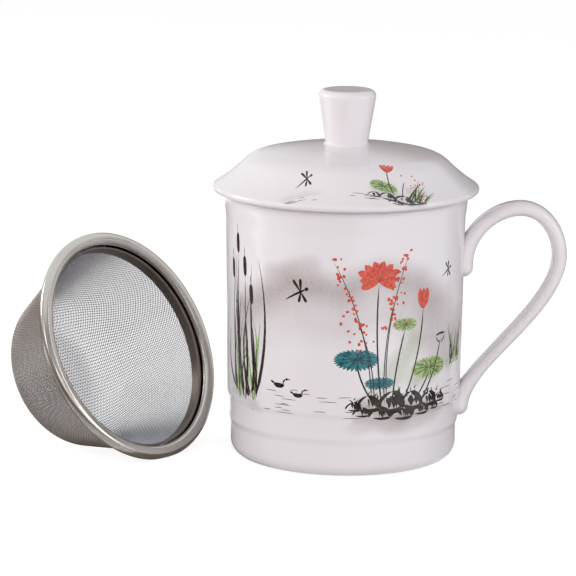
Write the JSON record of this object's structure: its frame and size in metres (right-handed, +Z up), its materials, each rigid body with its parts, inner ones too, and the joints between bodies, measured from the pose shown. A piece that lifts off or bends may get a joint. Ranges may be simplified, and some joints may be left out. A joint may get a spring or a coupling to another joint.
{
  "type": "lidded tea mug with strainer",
  "caption": "Porcelain tea mug with an ear-shaped handle and a loose domed lid with a knob, and a steel mesh strainer with a rolled rim standing beside it.",
  "frame": {"origin": "centre of the cup's foot ring, on the surface it stands on", "axes": "+Z up along the cup's axis, +X from the axis toward the handle, +Y away from the front, on which the main decoration is"},
  "size_m": [0.2087, 0.0994, 0.1386],
  "materials": {
    "porcelain": "glossy clear glaze over white porcelain",
    "rim_steel": "satin stainless steel, pressed and rolled",
    "band_steel": "dull stainless steel band",
    "mesh_steel": "fine plain-woven stainless wire cloth",
    "ink_decal": "fired overglaze ink",
    "red_decal": "fired overglaze red",
    "green_decal": "fired overglaze green",
    "teal_decal": "fired overglaze teal"
  },
  "bodies": {
    "mug": {"cup_body": "porcelain", "handle": "porcelain"},
    "lid": {"lid_dome": "porcelain", "lid_knob": "porcelain"},
    "strainer": {"strainer_rim": "rim_steel", "strainer_band": "band_steel", "strainer_mesh": "mesh_steel"}
  },
  "joints": [
    {"name": "lid_lift", "type": "slide", "parent": "mug", "child": "lid", "axis": [0, 0, 1], "range_m": [0, 0.06]},
    {"name": "strainer_lift", "type": "slide", "parent": "mug", "child": "strainer", "axis": [0, 0, 1], "range_m": [0, 0.15]}
  ]
}
